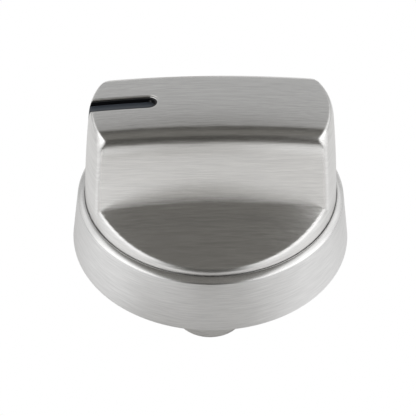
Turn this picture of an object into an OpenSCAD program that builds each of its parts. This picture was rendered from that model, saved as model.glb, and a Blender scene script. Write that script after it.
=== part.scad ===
// Stove knob: a round body with a domed bar grip, in a flared skirt ring, on a long D-bore stem.
// Origin: centre of the stem's end face, on the shaft axis, +Z up and the pointer towards -X.

/* [Skirt ring] */
// Outer diameter of the skirt at its bottom edge
skirt_d = 50; // [48:0.5:56]
// How much narrower the skirt is at its lip than at its bottom edge
skirt_taper = 3.1; // [1:0.1:5]
// Height of the skirt ring
skirt_h = 10.1; // [9:0.1:12]
// Width of the rounded lip round the top of the ring
lip_w = 1.1; // [0.8:0.05:1.4]
// Corner radius of the lip
lip_r = 0.45; // [0.2:0.05:0.5]
// Width of the ring's seat, from its bore to the groove
seat_w = 1.4; // [1:0.1:2]
// Thickness of the skirt at its bottom edge
skirt_edge_t = 1.8; // [1.2:0.1:2.4]
// Height of the flare inside the skirt
skirt_flare_h = 6; // [3:0.5:7]

/* [Groove] */
// Width of the open groove between lip and body
groove_gap = 0.2; // [0.15:0.05:0.6]
// Depth of the groove, from the lip down to the seat
groove_depth = 1.3; // [0.8:0.1:2]

/* [Grip] */
// Height of the grip above the skirt's bottom edge
grip_h = 28.9; // [27:0.1:33]
// Width of the grip between its two top creases
grip_top_w = 18.5; // [16:0.1:19]
// Width of the grip where it meets the scoops
grip_foot_w = 21; // [19.6:0.1:22]
// Radius of the long rolled edges of the grip
roll_r = 4.5; // [3:0.1:6]
// Angle of the roll, from the vertical, where it meets the flank
roll_end = 56; // [50:1:75]
// Radius of the dome along the grip
crown_r = 200; // [150:5:400]
// Draft of the round body wall, in degrees
wall_draft = 5.5; // [4:0.5:9]

/* [Scoops] */
// Height of the scoop floor at the grip, above the skirt's bottom edge
floor_h = 15.6; // [14:0.1:17]
// Fall of the scoop floor towards the rim, in degrees
floor_fall = 20.5; // [12:0.5:21]
// Radius of the scoop floor along the grip
floor_r = 101; // [80:1:160]

/* [Pointer] */
// Width of the pointer slot
slot_w = 3; // [2:0.1:4]
// Distance from the axis to the inner end of the slot
slot_start = 8.9; // [7:0.1:12]
// Depth of the pointer's face below the grip
pointer_recess = 0.95; // [0.6:0.05:1.1]
// Thickness of the pointer strip under its face
pointer_t = 0.9; // [0.7:0.1:1.2]
// Thickness of the strip's raised sides
pointer_side_t = 0.25; // [0.2:0.05:0.4]
// Depth of the raised sides' edge below the grip
pointer_sink = 0.3; // [0.2:0.05:0.4]
// Clearance all round the pointer strip
pointer_gap = 0.03; // [0.02:0.01:0.06]

/* [Shell] */
// Thickness of the top of the grip
roof_t = 3.2; // [2.8:0.1:4]
// Thickness of the flanks
flank_t = 2; // [1.6:0.1:2.4]
// Thickness of the scoop floors
floor_t = 2; // [1.6:0.1:2.6]
// Thickness of the round wall at its foot
wall_t = 1.8; // [1.4:0.1:2.2]
// Draft of the cavity's wall, in degrees
cavity_draft = 4; // [2:0.5:5]
// Height of the body's foot above the skirt's bottom edge
foot_gap = 1; // [0.5:0.1:2]
// Thickness of the ribs
rib_t = 1.5; // [1:0.1:2]
// Height of the ribs' lower edge above the skirt's bottom edge
rib_gap = 3.5; // [2:0.5:6]

/* [Stem] */
// Outer diameter of the stem
stem_d = 14; // [13:0.1:15]
// Length of the stem below the skirt's bottom edge
stem_len = 22.5; // [20:0.5:26]
// Chamfer on the stem's end
stem_chamfer = 0.6; // [0.3:0.1:1]
// Diameter of the valve shaft that the socket takes
shaft_d = 8; // [7:0.1:8.4]
// Distance from the shaft's axis to its flat
shaft_flat = 2.5; // [2.2:0.1:2.8]
// Clearance round the shaft
shaft_gap = 0.05; // [0.03:0.01:0.1]
// Depth of the socket
socket_depth = 20; // [19:0.5:24]
// Diameter of the round lead-in at the socket's mouth
leadin_d = 8.8; // [8.6:0.1:9.4]
// Depth of the lead-in
leadin_h = 2.5; // [2:0.1:3]

/* [Spring clip] */
// Width of the clip
clip_w = 4; // [3:0.1:4.6]
// Thickness of the clip's spring steel
clip_t = 0.35; // [0.25:0.05:0.45]
// Length of the clip along the socket
clip_len = 13; // [10:0.5:14]
// Bow of the clip
clip_bow = 0.3; // [0.2:0.05:0.4]
// Length of the foot that holds the clip in the stem
clip_foot = 1.2; // [0.8:0.1:1.6]
// Clearance round the clip in its pocket
clip_gap = 0.03; // [0.02:0.01:0.06]

/* [Hidden] */
$fn = 120;
sweep_fn = 720;
sweep_angle = 16;
over = 1;

base_z = stem_len;
grip_z = base_z + grip_h;
floor_z = base_z + floor_h;
lip_z = base_z + skirt_h;
seat_z = lip_z - groove_depth;
foot_z = base_z + foot_gap;

skirt_top_r = (skirt_d - skirt_taper) / 2;
groove_r = skirt_top_r - lip_w;
body_r = groove_r - groove_gap;
bore_r = groove_r - seat_w;
wall_slope = tan(wall_draft);
function wall_r(z) = body_r - wall_slope * (z - lip_z);
cavity_r = bore_r - wall_t;
function cavity_wall_r(z) = cavity_r - tan(cavity_draft) * (z - foot_z);

crease_u = grip_top_w / 2;
roll_u = crease_u - roll_r * sin(roll_end);
roll_z = grip_z - roll_r;
crease_z = roll_z + roll_r * cos(roll_end);
foot_u = grip_foot_w / 2;
flank_slope = (foot_u - crease_u) / (crease_z - floor_z);
function flank_u(z) = crease_u + flank_slope * (crease_z - z);
floor_slope = tan(floor_fall);

slot_r = slot_w / 2;
slot_centre = slot_start + slot_r;
slot_depth = pointer_recess + pointer_t;
socket_r = shaft_d / 2 + shaft_gap;
flat_x = shaft_flat + shaft_gap;
pocket_depth = clip_t + clip_bow - clip_gap;
pocket_z = leadin_h + (socket_depth - leadin_h - clip_len) / 2;
bow_r = (clip_len * clip_len / 4 + clip_bow * clip_bow) / (2 * clip_bow);

// Sweeps a section, drawn as width and height, along the grip on an arc that falls to both ends.
module arc_sweep(top_z, radius) {
    translate([0, 0, top_z - radius]) rotate([-90, -90, 0])
        rotate_extrude(angle = 2 * sweep_angle, start = -sweep_angle, $fn = sweep_fn)
            translate([radius - top_z, 0]) mirror([1, -1]) children();
}

module between(x0, z0, x1, z1) {
    translate([x0, z0]) square([x1 - x0, z1 - z0]);
}

// Section across the grip: a flat top, a rolled edge each side and leaning flanks.
module grip_section() {
    low_z = seat_z;
    side_u = roll_u + roll_r;
    intersection() {
        union() {
            for (side = [-1, 1]) translate([side * roll_u, roll_z]) circle(roll_r);
            between(-roll_u, low_z, roll_u, grip_z);
            between(-side_u - over, low_z, side_u + over, roll_z);
        }
        polygon([[-flank_u(low_z), low_z], [flank_u(low_z), low_z],
                 [flank_u(grip_z + over), grip_z + over], [-flank_u(grip_z + over), grip_z + over]]);
    }
}

// Section across the two scoop floors, which fall from inside the grip to the rim.
module floor_section(drop) {
    reach = skirt_d / 2;
    inner_u = foot_u - flank_t - over;
    low_z = foot_z - over;
    inner_z = floor_z - drop + floor_slope * (foot_u - inner_u);
    rim_z = floor_z - drop - floor_slope * (reach - foot_u);
    polygon([[-reach, low_z], [reach, low_z], [reach, rim_z],
             [inner_u, inner_z], [-inner_u, inner_z], [-reach, rim_z]]);
}

module grip_cavity_section() {
    top_z = grip_z - roof_t;
    low_z = foot_z - over;
    top_u = flank_u(top_z) - flank_t;
    low_u = flank_u(floor_z) - flank_t;
    polygon([[-low_u, low_z], [low_u, low_z], [low_u, floor_z],
             [top_u, top_z], [-top_u, top_z], [-low_u, floor_z]]);
}

module body_outside() {
    intersection() {
        rotate_extrude()
            polygon([[0, seat_z], [wall_r(seat_z), seat_z], [wall_r(grip_z), grip_z], [0, grip_z]]);
        union() {
            arc_sweep(grip_z, crown_r) grip_section();
            arc_sweep(floor_z, floor_r) floor_section(0);
        }
    }
    translate([0, 0, foot_z]) cylinder(r = bore_r, h = seat_z - foot_z + over / 2);
}

module ribs() {
    low_z = base_z + rib_gap;
    for (turn = [45, 135])
        rotate([0, 0, turn]) translate([-skirt_d / 2, -rib_t / 2, low_z]) cube([skirt_d, rib_t, grip_h]);
}

module cavity() {
    difference() {
        intersection() {
            rotate_extrude()
                polygon([[0, foot_z - over], [cavity_wall_r(foot_z - over), foot_z - over],
                         [cavity_wall_r(grip_z), grip_z], [0, grip_z]]);
            union() {
                arc_sweep(grip_z - roof_t, crown_r - roof_t) grip_cavity_section();
                arc_sweep(floor_z - floor_t, floor_r - floor_t) floor_section(floor_t);
            }
        }
        cylinder(d = stem_d, h = grip_z);
        ribs();
    }
}

module slot_outline(shrink) {
    translate([-skirt_d / 2, -slot_r + shrink]) square([skirt_d / 2 - slot_centre, slot_w - 2 * shrink]);
    translate([-slot_centre, 0]) circle(slot_r - shrink);
}

// A block with a bottom that follows the dome along the grip, this far below it.
module below_crown(depth) {
    translate([0, 0, grip_z - crown_r]) rotate([90, 0, 0])
        cylinder(r = crown_r - depth, h = 2 * slot_w, center = true, $fn = sweep_fn);
}

module slot_cut() {
    difference() {
        translate([0, 0, roll_z - over]) linear_extrude(grip_h) slot_outline(0);
        below_crown(slot_depth);
    }
}

module socket() {
    difference() {
        translate([0, 0, -over]) cylinder(r = socket_r, h = socket_depth + over);
        translate([flat_x, -socket_r, leadin_h]) cube([socket_r, 2 * socket_r, socket_depth]);
    }
    translate([0, 0, -over]) cylinder(d = leadin_d, h = leadin_h + over);
    clip_room();
}

// Pocket behind the socket's flat, with a notch at its lower end for the clip's foot.
module clip_room() {
    half_w = clip_w / 2 + clip_gap;
    translate([flat_x - over, -half_w, pocket_z - clip_gap])
        cube([pocket_depth + over, 2 * half_w, clip_len + 2 * clip_gap]);
    translate([flat_x - over, -half_w, pocket_z - clip_gap])
        cube([pocket_depth + clip_foot + clip_gap + over, 2 * half_w, clip_t + 2 * clip_gap]);
}

module knob_body() {
    color("silver")
        difference() {
            union() {
                difference() {
                    body_outside();
                    cavity();
                }
                cylinder(d1 = stem_d - 2 * stem_chamfer, d2 = stem_d, h = stem_chamfer);
                translate([0, 0, stem_chamfer]) cylinder(d = stem_d, h = base_z + rib_gap);
            }
            slot_cut();
            socket();
        }
}

module skirt_ring() {
    shoulder_z = lip_z - lip_r;
    color("silver")
        rotate_extrude() {
            difference() {
                polygon([[skirt_d / 2 - skirt_edge_t, base_z], [skirt_d / 2, base_z],
                         [skirt_top_r, shoulder_z], [skirt_top_r, lip_z],
                         [bore_r, lip_z], [bore_r, base_z + skirt_flare_h]]);
                between(bore_r - over, seat_z, groove_r, lip_z + over);
                between(groove_r, shoulder_z, groove_r + lip_r, lip_z + over);
                between(skirt_top_r - lip_r, shoulder_z, skirt_top_r + over, lip_z + over);
            }
            translate([groove_r + lip_r, shoulder_z]) circle(lip_r);
            translate([skirt_top_r - lip_r, shoulder_z]) circle(lip_r);
        }
}

// The strip is a shallow channel: a face with a raised side round it, open at the wall.
module pointer_strip() {
    color("#202124")
        difference() {
            intersection() {
                difference() {
                    translate([0, 0, roll_z - over]) linear_extrude(grip_h) slot_outline(pointer_gap);
                    below_crown(slot_depth);
                }
                below_crown(pointer_sink);
                rotate_extrude()
                    polygon([[0, seat_z], [wall_r(seat_z), seat_z], [wall_r(grip_z), grip_z], [0, grip_z]]);
            }
            difference() {
                translate([0, 0, roll_z - over])
                    linear_extrude(grip_h) slot_outline(pointer_gap + pointer_side_t);
                below_crown(pointer_recess);
            }
        }
}

module spring_clip() {
    back_x = flat_x + pocket_depth;
    mid_z = pocket_z + clip_len / 2;
    bow_x = back_x - clip_bow + bow_r;
    color("#8c9096")
        translate([0, clip_w / 2, 0]) rotate([90, 0, 0])
            linear_extrude(clip_w) {
                intersection() {
                    difference() {
                        translate([bow_x, mid_z]) circle(bow_r + clip_t, $fn = sweep_fn);
                        translate([bow_x, mid_z]) circle(bow_r, $fn = sweep_fn);
                    }
                    between(flat_x - over, pocket_z, back_x, pocket_z + clip_len);
                }
                between(back_x - clip_t, pocket_z, back_x + clip_foot, pocket_z + clip_t);
            }
}

knob_body();
skirt_ring();
pointer_strip();
spring_clip();
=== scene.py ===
import math

import bmesh
import bpy
import numpy as np
from mathutils import Matrix, Vector


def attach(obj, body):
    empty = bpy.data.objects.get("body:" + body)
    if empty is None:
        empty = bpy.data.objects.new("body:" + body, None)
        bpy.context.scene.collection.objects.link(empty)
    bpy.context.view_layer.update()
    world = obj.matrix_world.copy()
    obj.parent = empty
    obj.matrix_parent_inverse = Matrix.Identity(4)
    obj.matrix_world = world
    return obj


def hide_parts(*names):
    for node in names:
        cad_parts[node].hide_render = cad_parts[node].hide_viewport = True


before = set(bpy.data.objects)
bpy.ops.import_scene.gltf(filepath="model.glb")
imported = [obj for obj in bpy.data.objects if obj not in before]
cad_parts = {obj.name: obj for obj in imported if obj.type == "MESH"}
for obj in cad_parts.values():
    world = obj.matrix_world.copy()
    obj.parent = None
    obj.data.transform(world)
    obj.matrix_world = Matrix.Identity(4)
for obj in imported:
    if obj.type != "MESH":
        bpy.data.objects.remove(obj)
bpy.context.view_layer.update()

MM = 0.001

# Sizes of the knob in millimetres, from the stem's end face up, as the CAD model has them.
BASE_Z = 22.5
BASE_R = 25.0
LIP_Z = 32.6
SEAT_Z = 31.3
GRIP_Z = 51.4
FLOOR_Z = 37.75
BODY_R = 22.15
WALL_SLOPE = 0.078
WALL_CURVE = 0.0021
CROWN_R = 200.0
FLOOR_R = 101.0
CREASE_U = 9.25
CREASE_Z = 49.42
FOOT_U = 10.12
LEAN = (FOOT_U - CREASE_U) / (CREASE_Z - FLOOR_Z)
SLOT_R = 1.5
SLOT_CENTRE = 10.4

# Across the grip, a shallow dome turns into a tighter roll at this width.
DOME_R = 67.0
DOME_U = 6.5
ROLL_R = 3.76
ROLL_START = math.asin(DOME_U / DOME_R)
ROLL_U = DOME_U - ROLL_R * math.sin(ROLL_START)
ROLL_Z = GRIP_Z - DOME_R + (DOME_R - ROLL_R) * math.cos(ROLL_START)
ROLL_END = math.asin((CREASE_U - ROLL_U) / ROLL_R)

# A scoop floor starts flatter at the grip's foot and steepens over this width.
FALL_START = math.tan(math.radians(12))
FALL_END = math.tan(math.radians(21))
FALL_WIDTH = 4.7
FALL_COS = 0.95

# Edge roundings of the body. The grip's end edges are rounder just above the crease.
CREASE_EDGE = 1.2
RIM_EDGE = 0.65
END_EDGE = 0.5
END_EDGE_MORE = 0.9
END_EDGE_MORE_Z = CREASE_Z + 0.7
SLOT_EDGE = 0.12

# The scoop block's wall lies a hair inside the grip's, and well inside it this far under the grip.
BLOCK_IN = 0.02
HIDDEN_IN = 0.7

# The rounded form lies this far inside the CAD's surfaces, and reaches down to this height.
SKIN = 0.06
FORM_LOW_Z = 31.0
# Mesh sizes, and the turn in degrees under which an edge is shaded smooth.
VOXEL = 0.27
SWEEP_ANGLE = math.radians(32)
SWEEP_STEPS = 40
SMOOTH_UNDER = 32


def new_piece(name, bm):
    mesh = bpy.data.meshes.new(name)
    bm.to_mesh(mesh)
    bm.free()
    piece = bpy.data.objects.new(name, mesh)
    bpy.context.scene.collection.objects.link(piece)
    return piece


def copy_piece(piece, name):
    bm = bmesh.new()
    bm.from_mesh(piece.data)
    return new_piece(name, bm)


def closed_copy(node, name):
    """A merged copy of a CAD node, for a piece that keeps its form."""
    bm = bmesh.new()
    bm.from_mesh(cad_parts[node].data)
    bmesh.ops.remove_doubles(bm, verts=bm.verts, dist=1e-7)
    return new_piece(name, bm)


def in_metres(bm):
    bmesh.ops.scale(bm, vec=(MM, MM, MM), verts=bm.verts)
    return bm


def lathe(name, outline, steps):
    """A closed ring or disc: an outline of (radius, height) pairs, turned about the shaft axis."""
    bm = bmesh.new()
    verts = [bm.verts.new((r, 0, z)) for r, z in outline]
    edges = [bm.edges.new(pair) for pair in zip(verts, verts[1:] + verts[:1])]
    bmesh.ops.spin(bm, geom=verts + edges, cent=(0, 0, 0), axis=(0, 0, 1),
                   angle=2 * math.pi, steps=steps, use_merge=True)
    bmesh.ops.remove_doubles(bm, verts=bm.verts, dist=0.0005)
    bmesh.ops.recalc_face_normals(bm, faces=bm.faces)
    return new_piece(name, in_metres(bm))


def sweep(name, half, top_z, radius):
    """A bar along the grip on a falling arc. half is one side of its section: (width, height)."""
    section = half + [(-u, z) for u, z in reversed(half) if u > 0]
    bm = bmesh.new()
    turn = Matrix.Rotation(-SWEEP_ANGLE / 2, 3, "Y")
    centre = Vector((0, 0, top_z - radius))
    verts = [bm.verts.new(centre + turn @ (Vector((0, u, z)) - centre)) for u, z in section]
    bmesh.ops.spin(bm, geom=[bm.faces.new(verts)], cent=centre, axis=(0, 1, 0),
                   angle=SWEEP_ANGLE, steps=SWEEP_STEPS, use_duplicate=False)
    bmesh.ops.recalc_face_normals(bm, faces=bm.faces)
    return new_piece(name, in_metres(bm))


def arc(centre_r, centre_z, radius, start, end, steps):
    """Points of a corner arc as (radius, height) pairs, angles in degrees from outwards."""
    turns = [math.radians(start + (end - start) * k / steps) for k in range(steps + 1)]
    return [(centre_r + radius * math.cos(t), centre_z + radius * math.sin(t)) for t in turns]


def settle(piece):
    """Applies the piece's modifiers to its mesh."""
    bpy.context.view_layer.update()
    graph = bpy.context.evaluated_depsgraph_get()
    mesh = bpy.data.meshes.new_from_object(piece.evaluated_get(graph))
    piece.modifiers.clear()
    old = piece.data
    piece.data = mesh
    bpy.data.meshes.remove(old)


def combine(piece, other, operation):
    """Joins, cuts or keeps the common part of two closed pieces, and drops the second."""
    mod = piece.modifiers.new("combine", "BOOLEAN")
    mod.operation = operation
    mod.solver = "MANIFOLD"
    mod.object = other
    settle(piece)
    bpy.data.objects.remove(other)


def round_outer(a, b, radius):
    """Common part of two forms given by distance, with its edge rounded."""
    over_a = np.maximum(radius + a, 0)
    over_b = np.maximum(radius + b, 0)
    return np.minimum(-radius, np.maximum(a, b)) + np.hypot(over_a, over_b)


def wall_r(z):
    """Radius of the round wall, which leans in a little more towards its top."""
    h = z - LIP_Z
    return BODY_R - WALL_SLOPE * h - WALL_CURVE * h * h


def wall_distance(p):
    return (np.hypot(p[:, 0], p[:, 1]) - wall_r(p[:, 2])) * math.cos(math.atan(WALL_SLOPE))


def grip_distance(p):
    """Distance from the bar grip with rounded edges, below zero inside. Points in millimetres."""
    x, y, z = p.T
    u = np.abs(y)
    z_grip = np.hypot(x, z - GRIP_Z + CROWN_R) - CROWN_R + GRIP_Z
    flank = (u - CREASE_U - LEAN * (CREASE_Z - z_grip)) * math.cos(math.atan(LEAN))
    above = z_grip - GRIP_Z + DOME_R
    dome = np.hypot(u, above) - DOME_R
    across, up = u - ROLL_U, z_grip - ROLL_Z
    roll = np.hypot(across, up) - ROLL_R
    past_roll = across * math.sin(ROLL_END) + up * math.cos(ROLL_END) - ROLL_R
    on_dome = (u < above * math.tan(ROLL_START)) | ((across < 0) & (up < 0))
    on_roll = np.arctan2(across, up) < ROLL_END
    top = np.where(on_dome, dome, np.where(on_roll, roll, past_roll))
    end_edge = END_EDGE + END_EDGE_MORE * np.exp(-(z_grip - END_EDGE_MORE_Z) ** 2)
    return round_outer(round_outer(flank, top, CREASE_EDGE), wall_distance(p), end_edge)


def floor_distance(p):
    """Distance from the block under the scoop floors, with its rim rounded."""
    x, y, z = p.T
    z_floor = np.hypot(x, z - FLOOR_Z + FLOOR_R) - FLOOR_R + FLOOR_Z
    out = np.abs(y) - FOOT_U
    steepening = (FALL_END - FALL_START) * (np.clip(out, 0, FALL_WIDTH) ** 2 / (2 * FALL_WIDTH)
                                            + np.maximum(out - FALL_WIDTH, 0))
    floor = (z_floor - FLOOR_Z + FALL_START * out + steepening) * FALL_COS
    # Under the grip the wall is drawn in, so that only the grip's own ends show there.
    hidden = np.clip(-out - HIDDEN_IN, 0, 1)
    return round_outer(floor, wall_distance(p) + BLOCK_IN + hidden, RIM_EDGE)


def press_on(piece, distance, low_z):
    """Moves each vertex above low_z onto the rounded form that the distance gives."""
    probe, longest_step, rounds = 0.01, 0.3, 12
    mesh = piece.data
    flat = np.empty(len(mesh.vertices) * 3, np.float64)
    mesh.vertices.foreach_get("co", flat)
    points = flat.reshape(-1, 3) / MM
    rows = np.nonzero(points[:, 2] > low_z)[0]
    p = points[rows]
    for _ in range(rounds):
        past = np.clip(distance(p) + SKIN, -longest_step, longest_step)
        slope = np.stack([(distance(p + probe * axis) - distance(p - probe * axis)) / (2 * probe)
                          for axis in np.eye(3)], 1)
        p -= past[:, None] * slope / np.maximum((slope ** 2).sum(1), 0.25)[:, None]
    points[rows] = p
    mesh.vertices.foreach_set("co", (points * MM).ravel())
    mesh.update()


def round_block(name, top_z):
    """The body's round wall as a solid block, from just under the lip to top_z."""
    low_z, steps, sides = 30.6, 8, 192
    levels = [low_z + (top_z - low_z) * k / steps for k in range(steps + 1)]
    return lathe(name, [(0, low_z)] + [(wall_r(z), z) for z in levels] + [(0, top_z)], sides)


def make_soft(piece, distance):
    """Remeshes the piece evenly and presses it onto its rounded form."""
    remesh = piece.modifiers.new("even", "REMESH")
    remesh.mode = "VOXEL"
    remesh.voxel_size = VOXEL * MM
    settle(piece)
    press_on(piece, distance, FORM_LOW_Z)


def make_grip():
    """The bar grip, cut to the round wall, with soft edges."""
    low_z, steps = 28, 8
    half = [(0, GRIP_Z)]
    for k in range(steps + 1):
        turn = ROLL_START + (ROLL_END - ROLL_START) * k / steps
        half.append((ROLL_U + ROLL_R * math.sin(turn), ROLL_Z + ROLL_R * math.cos(turn)))
    half.append((CREASE_U + LEAN * (CREASE_Z - low_z), low_z))
    grip = sweep("grip", half, GRIP_Z, CROWN_R)
    combine(grip, round_block("grip_block", GRIP_Z), "INTERSECT")
    make_soft(grip, grip_distance)
    return grip


def make_floors():
    """The block under the two scoop floors, with a soft rim."""
    low_z, inner_u, reach = 26, 7.5, BASE_R + 1
    half = [(inner_u, FLOOR_Z + FALL_START * (FOOT_U - inner_u)), (FOOT_U, FLOOR_Z),
            (reach, FLOOR_Z - FALL_END * (reach - FOOT_U) + 0.4), (reach, low_z)]
    floors = sweep("floors", half, FLOOR_Z, FLOOR_R)
    combine(floors, round_block("floor_block", FLOOR_Z + 3), "INTERSECT")
    make_soft(floors, floor_distance)
    return floors


def make_rounded_form():
    """The body's outer form, solid and a little wider below the lip than the body itself."""
    form = make_grip()
    combine(form, make_floors(), "UNION")
    low_z, high_z, radius = -2, 31.7, BASE_R + 2
    plate = lathe("plate", [(0, low_z), (radius, low_z), (radius, high_z), (0, high_z)], 96)
    combine(form, plate, "UNION")
    return form


def slot_outline(spread, height):
    """Points of the slot's outline, widened by spread: two long sides and a round inner end."""
    half_w = SLOT_R + spread
    end_steps, side_steps, side = 24, 40, 16
    points = []
    for k in range(end_steps + 1):
        turn = math.pi * (k / end_steps - 0.5)
        points.append((-SLOT_CENTRE + half_w * math.cos(turn), half_w * math.sin(turn)))
    back = [(-SLOT_CENTRE - side * (k + 1) / side_steps, half_w) for k in range(side_steps)]
    points += back + [(x, -y) for x, y in reversed(back)]
    crown = GRIP_Z - CROWN_R + height
    return [(x, y, crown + math.sqrt(CROWN_R ** 2 - x * x)) for x, y in points]


def slot_edge_cutter():
    """A cutter that rounds the edge of the pointer's slot. It follows the crown."""
    depth, over, steps = 0.14, 0.3, 6
    turns = [math.pi / 2 * k / steps for k in range(steps)]
    rings = [(-0.02, -depth - SLOT_EDGE)]
    rings += [(SLOT_EDGE * (1 - math.cos(t)), -depth - SLOT_EDGE * (1 - math.sin(t)))
              for t in turns]
    rings += [(SLOT_EDGE + over, 0.01 - depth), (SLOT_EDGE + over, 1.0)]
    bm = bmesh.new()
    loops = []
    for ring in rings:
        verts = [bm.verts.new(co) for co in slot_outline(*ring)]
        loops.append([bm.edges.new(pair) for pair in zip(verts, verts[1:] + verts[:1])])
    for low, high in zip(loops, loops[1:]):
        bmesh.ops.bridge_loops(bm, edges=low + high)
    bmesh.ops.contextual_create(bm, geom=loops[0])
    bmesh.ops.contextual_create(bm, geom=loops[-1])
    bmesh.ops.recalc_face_normals(bm, faces=bm.faces)
    return new_piece("slot_edge", in_metres(bm))


def shade(piece, degrees):
    mesh = piece.data
    mesh.polygons.foreach_set("use_smooth", [True] * len(mesh.polygons))
    mesh.set_sharp_from_angle(angle=math.radians(degrees))


def shade_body(body):
    """Smooth over the rounded outside, and crisp where the CAD's own flat faces meet inside."""
    crisp_over = 8
    bm = bmesh.new()
    bm.from_mesh(body.data)
    middles = np.array([(a.co + b.co) / 2 for a, b in (edge.verts for edge in bm.edges)]) / MM
    on_form = np.minimum(grip_distance(middles), floor_distance(middles)) > -0.3
    height = middles[:, 2]
    rounded = (on_form & (height > FORM_LOW_Z + 0.4)) | (height < 0.4)
    for edge, soft in zip(bm.edges, rounded):
        limit = math.radians(SMOOTH_UNDER if soft else crisp_over)
        edge.smooth = edge.calc_face_angle(math.pi) < limit
    for face in bm.faces:
        face.smooth = True
    bm.to_mesh(body.data)
    bm.free()


def make_stem_edge():
    """Fills the stem's chamfer to a smaller rounding, as the photo shows it."""
    stem_r, corner, inner_r, low_z, high_z = 6.97, 0.15, 5.2, 0.02, 1.5
    outline = [(inner_r, low_z)] + arc(stem_r - corner, low_z + corner, corner, -90, 0, 4)
    outline += [(stem_r, high_z), (inner_r, high_z)]
    return lathe("stem_edge", outline, 120)


def make_body(form):
    body = closed_copy("knob_body", "body_shell")
    combine(body, form, "INTERSECT")
    combine(body, slot_edge_cutter(), "DIFFERENCE")
    combine(body, make_stem_edge(), "UNION")
    shade_body(body)
    return body


def make_ring():
    """The skirt: a flared shell with a rounded lip, a seat inside it and a thinned bottom edge."""
    lean = 8.7
    foot_edge, foot_w = 0.3, 1.8
    lip_in, bore, inside_z = 22.18, 20.97, BASE_Z + 6
    inner_edge, crown, outer_edge = 0.08, 2.604, 0.35
    crown_start, crown_end = 78, 52
    outline = arc(BASE_R - 0.35, BASE_Z + foot_edge, foot_edge, -90, lean, 5)
    lip = arc(lip_in + inner_edge, LIP_Z - inner_edge, inner_edge, 180, crown_start, 5)
    for radius, start, end in ((crown, crown_start, crown_end), (outer_edge, crown_end, lean)):
        r, z = lip[-1]
        turn = math.radians(start)
        lip += arc(r - radius * math.cos(turn), z - radius * math.sin(turn),
                   radius, start, end, 6)[1:]
    outline += reversed(lip)
    outline += [(lip_in, SEAT_Z), (bore, SEAT_Z), (bore, inside_z), (BASE_R - foot_w, BASE_Z)]
    ring = lathe("skirt_shell", outline, 240)
    shade(ring, SMOOTH_UNDER)
    return ring


def make_strip(form):
    """The pointer: the CAD's channel, with its open end rounded with the grip."""
    strip = closed_copy("pointer_strip", "pointer_channel")
    combine(strip, form, "INTERSECT")
    shade(strip, 4)
    return strip


# Finishes. Each is worked out on the object's own coordinates, in metres.
def node_tree(name):
    mat = bpy.data.materials.new(name)
    mat.use_nodes = True
    mat.node_tree.nodes.clear()
    return mat, mat.node_tree


def add(tree, kind, **settings):
    node = tree.nodes.new(kind)
    for key, value in settings.items():
        setattr(node, key, value)
    return node


def feed(tree, socket, value):
    """Links the socket to another node's output, or sets it to a plain number."""
    if isinstance(value, (int, float)):
        socket.default_value = value
    else:
        tree.links.new(value, socket)


def math_node(tree, operation, *values, clamp=False):
    node = add(tree, "ShaderNodeMath", operation=operation, use_clamp=clamp)
    for socket, value in zip(node.inputs, values):
        feed(tree, socket, value)
    return node.outputs[0]


def product(tree, *values):
    result = values[0]
    for value in values[1:]:
        result = math_node(tree, "MULTIPLY", result, value)
    return result


def largest(tree, *values):
    result = values[0]
    for value in values[1:]:
        result = math_node(tree, "MAXIMUM", result, value)
    return result


def ramp(tree, value, gain, start):
    """start where the value is 0, and start + gain where it is 1."""
    return math_node(tree, "MULTIPLY_ADD", value, gain, start)


def smooth_step(tree, value, start, end):
    """0 to 1 with soft ends, while the value goes from start to end."""
    node = add(tree, "ShaderNodeMapRange", interpolation_type="SMOOTHSTEP")
    if isinstance(end, (int, float)):
        node.inputs["To Min"].default_value = float(start > end)
        node.inputs["To Max"].default_value = float(start < end)
        start, end = min(start, end), max(start, end)
    feed(tree, node.inputs["From Min"], start)
    feed(tree, node.inputs["From Max"], end)
    feed(tree, node.inputs["Value"], value)
    return node.outputs["Result"]


def split_xyz(tree, coordinates):
    """The three parts of the named texture coordinates."""
    split = add(tree, "ShaderNodeSeparateXYZ")
    tree.links.new(add(tree, "ShaderNodeTexCoord").outputs[coordinates], split.inputs[0])
    return split.outputs


def mix_colours(tree, share, first, second):
    mix = add(tree, "ShaderNodeMix", data_type="RGBA")
    tree.links.new(share, mix.inputs[0])
    mix.inputs[6].default_value = (*first, 1)
    mix.inputs[7].default_value = (*second, 1)
    return mix.outputs[2]


def mix_shaders(tree, share, first, second):
    mix = add(tree, "ShaderNodeMixShader")
    tree.links.new(share, mix.inputs[0])
    tree.links.new(first.outputs[0], mix.inputs[1])
    tree.links.new(second.outputs[0], mix.inputs[2])
    return mix.outputs[0]


def output(tree, socket):
    out = add(tree, "ShaderNodeOutputMaterial")
    tree.links.new(socket, out.inputs["Surface"])


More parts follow.
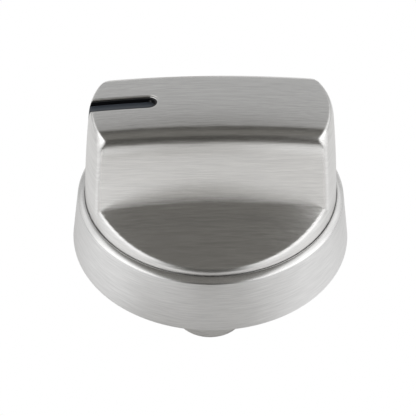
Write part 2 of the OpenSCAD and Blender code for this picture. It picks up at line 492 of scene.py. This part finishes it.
def brush_group():
    """Fine parallel scratches: streaks of two widths along the stroke."""
    group = bpy.data.node_groups.new("brush_marks", "ShaderNodeTree")
    face = group.interface
    face.new_socket("Stroke", in_out="INPUT", socket_type="NodeSocketVector")
    for name in ("Fine", "Broad", "Base Roughness", "Spread"):
        face.new_socket(name, in_out="INPUT", socket_type="NodeSocketFloat")
    for name in ("Height", "Roughness", "Tone"):
        face.new_socket(name, in_out="OUTPUT", socket_type="NodeSocketFloat")
    given = add(group, "NodeGroupInput").outputs
    result = add(group, "NodeGroupOutput").inputs
    streaks = []
    for width, detail in (("Fine", 3), ("Broad", 2)):
        noise = add(group, "ShaderNodeTexNoise")
        noise.inputs["Detail"].default_value = detail
        group.links.new(given["Stroke"], noise.inputs["Vector"])
        group.links.new(given[width], noise.inputs["Scale"])
        streaks.append(noise.outputs["Fac"])
    fine, broad = streaks
    height = ramp(group, broad, 0.45, product(group, fine, 0.55))
    offset = math_node(group, "SUBTRACT", height, 0.5)
    feed(group, result["Height"], height)
    feed(group, result["Roughness"], ramp(group, offset, given["Spread"], given["Base Roughness"]))
    feed(group, result["Tone"], ramp(group, offset, 0.6, 1.0))
    return group


BRUSH = brush_group()


def straight_stroke(tree):
    """Coordinates squeezed along X, so that noise on them runs in strokes along the grip."""
    coords = add(tree, "ShaderNodeTexCoord")
    mapping = add(tree, "ShaderNodeMapping")
    mapping.inputs["Scale"].default_value = (0.055, 1, 1)
    tree.links.new(coords.outputs["Object"], mapping.inputs["Vector"])
    return mapping.outputs["Vector"]


def round_stroke(tree):
    """Coordinates that keep height and radius but hardly change round the axis."""
    x, y, z = split_xyz(tree, "Object")
    radius = math_node(tree, "SQRT", ramp(tree, x, x, product(tree, y, y)))
    join = add(tree, "ShaderNodeCombineXYZ")
    for value, socket in zip((x, y), join.inputs):
        unit = math_node(tree, "DIVIDE", value, radius)
        feed(tree, socket, product(tree, unit, 1 * MM))
    feed(tree, join.inputs[2], ramp(tree, radius, 0.7, z))
    return join.outputs[0], radius, z


def brushed(tree, stroke, colour, rough, spread, bump, fine=6000.0, broad=2000.0):
    """One brushed metal shader. Returns the shader node, with its output not yet linked."""
    marks = add(tree, "ShaderNodeGroup", node_tree=BRUSH)
    for name, value in (("Stroke", stroke), ("Fine", fine), ("Broad", broad),
                        ("Base Roughness", rough), ("Spread", spread)):
        feed(tree, marks.inputs[name], value)
    grey = add(tree, "ShaderNodeCombineXYZ")
    for socket in grey.inputs:
        tree.links.new(marks.outputs["Tone"], socket)
    tone = add(tree, "ShaderNodeMix", data_type="RGBA", blend_type="MULTIPLY")
    tone.inputs[0].default_value = 1
    tone.inputs[6].default_value = (*colour, 1)
    tree.links.new(grey.outputs[0], tone.inputs[7])
    relief = add(tree, "ShaderNodeBump")
    relief.inputs["Strength"].default_value = bump
    relief.inputs["Distance"].default_value = 0.05 * MM
    tree.links.new(marks.outputs["Height"], relief.inputs["Height"])
    shader = add(tree, "ShaderNodeBsdfPrincipled")
    shader.inputs["Metallic"].default_value = 1
    tree.links.new(tone.outputs[2], shader.inputs["Base Color"])
    tree.links.new(marks.outputs["Roughness"], shader.inputs["Roughness"])
    tree.links.new(relief.outputs["Normal"], shader.inputs["Normal"])
    return shader


def stretch(tree, shader, axis, amount, rotation):
    """Spreads the shine across the strokes."""
    shader.inputs["Anisotropic"].default_value = amount
    shader.inputs["Anisotropic Rotation"].default_value = rotation
    tangent = add(tree, "ShaderNodeTangent", direction_type="RADIAL", axis=axis)
    tree.links.new(tangent.outputs[0], shader.inputs["Tangent"])


def brushed_metal():
    """The body's finish: strokes along the grip, strokes round the wall and the stem."""
    mat, tree = node_tree("brushed_metal")
    along = brushed(tree, straight_stroke(tree), (0.88, 0.874, 0.862),
                    rough=0.22, spread=0.14, bump=0.25, fine=6500.0, broad=2500.0)
    stretch(tree, along, "X", 0.6, 0)
    stroke, radius, z = round_stroke(tree)
    around = brushed(tree, stroke, (0.74, 0.735, 0.725), rough=0.3, spread=0.1, bump=0.2)
    stretch(tree, around, "Z", 0.6, 0.25)
    # The round strokes begin 0.6 mm inside the wall and are full from 0.3 mm inside it.
    above = math_node(tree, "SUBTRACT", z, LIP_Z * MM)
    out = ramp(tree, above, ramp(tree, above, WALL_CURVE / MM, WALL_SLOPE), radius)
    past = math_node(tree, "SUBTRACT", out, (BODY_R - 0.6) * MM)
    on_wall = math_node(tree, "MULTIPLY", past, 1 / (0.3 * MM), clamp=True)
    on_stem = math_node(tree, "LESS_THAN", z, 30 * MM)
    output(tree, mix_shaders(tree, largest(tree, on_wall, on_stem), along, around))
    return mat


def ring_steel():
    """The ring's finish: strokes round the skirt, and a smoother lip, painted brighter as a
    highlight.
    """
    mat, tree = node_tree("ring_steel")
    stroke, _, z = round_stroke(tree)
    skirt = brushed(tree, stroke, (0.7, 0.697, 0.693),
                    rough=0.3, spread=0.1, bump=0.15, fine=8000.0, broad=4500.0)
    stretch(tree, skirt, "Z", 0.8, 0.25)
    # The lip is the same steel as the skirt. Its paler colour is a painted highlight where light
    # catches it.
    lip = brushed(tree, stroke, (0.88, 0.876, 0.868), rough=0.24, spread=0.05, bump=0.1)
    painted_shine_on_lip = smooth_step(tree, z, (LIP_Z - 0.65) * MM, (LIP_Z - 0.4) * MM)
    output(tree, mix_shaders(tree, painted_shine_on_lip, skirt, lip))
    return mat


def black_plastic():
    """Glossy black, with a paler face inside the dark lines along the pointer's sides."""
    mat, tree = node_tree("black_plastic")
    noise = add(tree, "ShaderNodeTexNoise")
    noise.inputs["Scale"].default_value = 900
    noise.inputs["Detail"].default_value = 4
    tree.links.new(add(tree, "ShaderNodeTexCoord").outputs["Object"], noise.inputs["Vector"])
    x, y, _ = split_xyz(tree, "Object")
    past_end = math_node(tree, "MAXIMUM", math_node(tree, "ADD", x, SLOT_CENTRE * MM), 0.0)
    from_middle = math_node(tree, "SQRT", ramp(tree, past_end, past_end, product(tree, y, y)))
    on_face = smooth_step(tree, from_middle, 1.13 * MM, 1.09 * MM)
    colour = mix_colours(tree, on_face, (0.004, 0.004, 0.005), (0.072, 0.083, 0.1))
    shader = add(tree, "ShaderNodeBsdfPrincipled")
    tree.links.new(colour, shader.inputs["Base Color"])
    tree.links.new(ramp(tree, noise.outputs["Fac"], 0.1, 0.2), shader.inputs["Roughness"])
    output(tree, shader.outputs[0])
    return mat


def spring_steel():
    mat, tree = node_tree("spring_steel")
    shader = brushed(tree, straight_stroke(tree), (0.5, 0.5, 0.51),
                     rough=0.35, spread=0.1, bump=0.1)
    output(tree, shader.outputs[0])
    return mat


def wear(piece, material):
    piece.data.materials.clear()
    piece.data.materials.append(material)


def set_camera():
    """The photograph's viewing angle."""
    tilt, roll, yaw = math.radians(41.97), math.radians(0.264), math.radians(-1.59)
    distance, aim = 181.8, Vector((-0.455, 0, BASE_Z + 4.9))
    forward = Vector((0, math.cos(tilt), -math.sin(tilt)))
    right, up = Vector((1, 0, 0)), Vector((0, math.sin(tilt), math.cos(tilt)))
    image_x = right * math.cos(roll) + up * math.sin(roll)
    image_y = up * math.cos(roll) - right * math.sin(roll)
    spin = Matrix.Rotation(yaw, 3, "Z")
    axes = spin @ Matrix((image_x, image_y, -forward)).transposed()
    data = bpy.data.cameras.new("camera")
    data.sensor_width = 36
    data.lens = 87.36
    data.clip_start, data.clip_end = 0.01, 20
    camera = bpy.data.objects.new("camera", data)
    bpy.context.scene.collection.objects.link(camera)
    camera.matrix_world = Matrix.Translation(spin @ (aim - forward * distance) * MM) @ axes.to_4x4()
    bpy.context.scene.camera = camera


def set_light():
    """A studio tent, lit from all round. In a direction, x is right, y is away and z is up."""
    world = bpy.data.worlds.new("room")
    bpy.context.scene.world = world
    world.use_nodes = True
    tree = world.node_tree
    x, y, z = split_xyz(tree, "Generated")
    off_axis = math_node(tree, "ABSOLUTE", math_node(tree, "ADD", x, 0.04))

    # Bright walls at both sides: brightest halfway up, weaker behind, and open above.
    full_at = ramp(tree, smooth_step(tree, z, 0.2, 0.6), -0.25, 0.8)
    sides = product(tree, smooth_step(tree, off_axis, 0.24, full_at),
                    smooth_step(tree, z, 0.95, 0.7),
                    ramp(tree, smooth_step(tree, z, 0.3, 0.5), 0.4, 1.0),
                    ramp(tree, smooth_step(tree, y, 0.0, 0.4), -0.42, 1.0))
    overhead = product(tree, smooth_step(tree, off_axis, 0.42, 0.55),
                       smooth_step(tree, z, 0.6, 0.75))
    back = product(tree, smooth_step(tree, y, -0.2, 0.5), smooth_step(tree, z, 0.84, 0.68), 0.395)
    # Dim parts: low all round, and the roof towards the camera.
    low = product(tree, smooth_step(tree, z, 0.4, 0.0), 0.08)
    roof = product(tree, smooth_step(tree, y, 0.5, 0.0), smooth_step(tree, z, 0.7, 0.9))
    dim = ramp(tree, roof, 0.09, low)
    glow = ramp(tree, largest(tree, sides, back, overhead, dim), 0.95, 0.07)

    # The camera sees white. The dim parts are a little warm.
    path = add(tree, "ShaderNodeLightPath")
    glow = largest(tree, glow, path.outputs["Is Camera Ray"])
    background = tree.nodes["Background"].inputs
    feed(tree, background["Strength"], glow)
    feed(tree, background["Color"], mix_colours(tree, smooth_step(tree, glow, 0.1, 0.45),
                                                (1, 0.965, 0.89), (1, 1, 1)))
    bpy.context.scene.view_settings.view_transform = "Standard"


def painted_floor_glow(tree):
    """Painted glow: how bright the floor looks in the metal's reflections. It is bright at the
    sides and in a band further ahead, and absent close in front of the knob, where the floor's own
    shading shows. Places are in metres: x is right, y is away.
    """
    x, y, _ = split_xyz(tree, "Object")
    full_at = ramp(tree, math_node(tree, "GREATER_THAN", x, 0.0), 0.03, 0.085)
    off_axis = math_node(tree, "ABSOLUTE", math_node(tree, "ADD", x, 0.01))
    aside = smooth_step(tree, off_axis, 0.0, full_at)
    beside = product(tree, smooth_step(tree, off_axis, 0.01, 0.045),
                     smooth_step(tree, y, -0.05, -0.03))
    aside = product(tree, largest(tree, aside, beside),
                    ramp(tree, smooth_step(tree, y, -0.01, 0.04), -0.35, 1.0))
    ahead = product(tree, smooth_step(tree, y, -0.092, -0.075),
                    smooth_step(tree, y, -0.05, -0.064),
                    ramp(tree, smooth_step(tree, x, 0.0, 0.035), -0.45, 0.65))
    return ramp(tree, largest(tree, aside, ahead), 0.96, 0.03)


def set_floor():
    """White to the camera, with painted glow in zones where the metal mirrors it, and plain
    otherwise.
    """
    bm = bmesh.new()
    bmesh.ops.create_grid(bm, x_segments=2, y_segments=2, size=6)
    floor = new_piece("floor", bm)
    mat, tree = node_tree("pale_floor")
    path = add(tree, "ShaderNodeLightPath").outputs
    mirrored = largest(tree, path["Is Glossy Ray"], path["Is Transmission Ray"])
    # Only in reflections, the floor glows in zones: painted light, not a lamp.
    mirrored = product(tree, mirrored, painted_floor_glow(tree))
    shown = math_node(tree, "ADD", path["Is Camera Ray"], mirrored)
    diffuse = add(tree, "ShaderNodeBsdfDiffuse")
    diffuse.inputs["Color"].default_value = (0.86, 0.85, 0.833, 1)
    output(tree, mix_shaders(tree, shown, diffuse, add(tree, "ShaderNodeEmission")))
    wear(floor, mat)


set_camera()
set_light()
set_floor()

form = make_rounded_form()

body = make_body(copy_piece(form, "body_form"))
wear(body, brushed_metal())
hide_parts("knob_body")
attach(body, "root")

ring = make_ring()
wear(ring, ring_steel())
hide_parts("skirt_ring")
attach(ring, "root")

strip = make_strip(form)
wear(strip, black_plastic())
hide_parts("pointer_strip")
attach(strip, "root")

wear(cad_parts["spring_clip"], spring_steel())
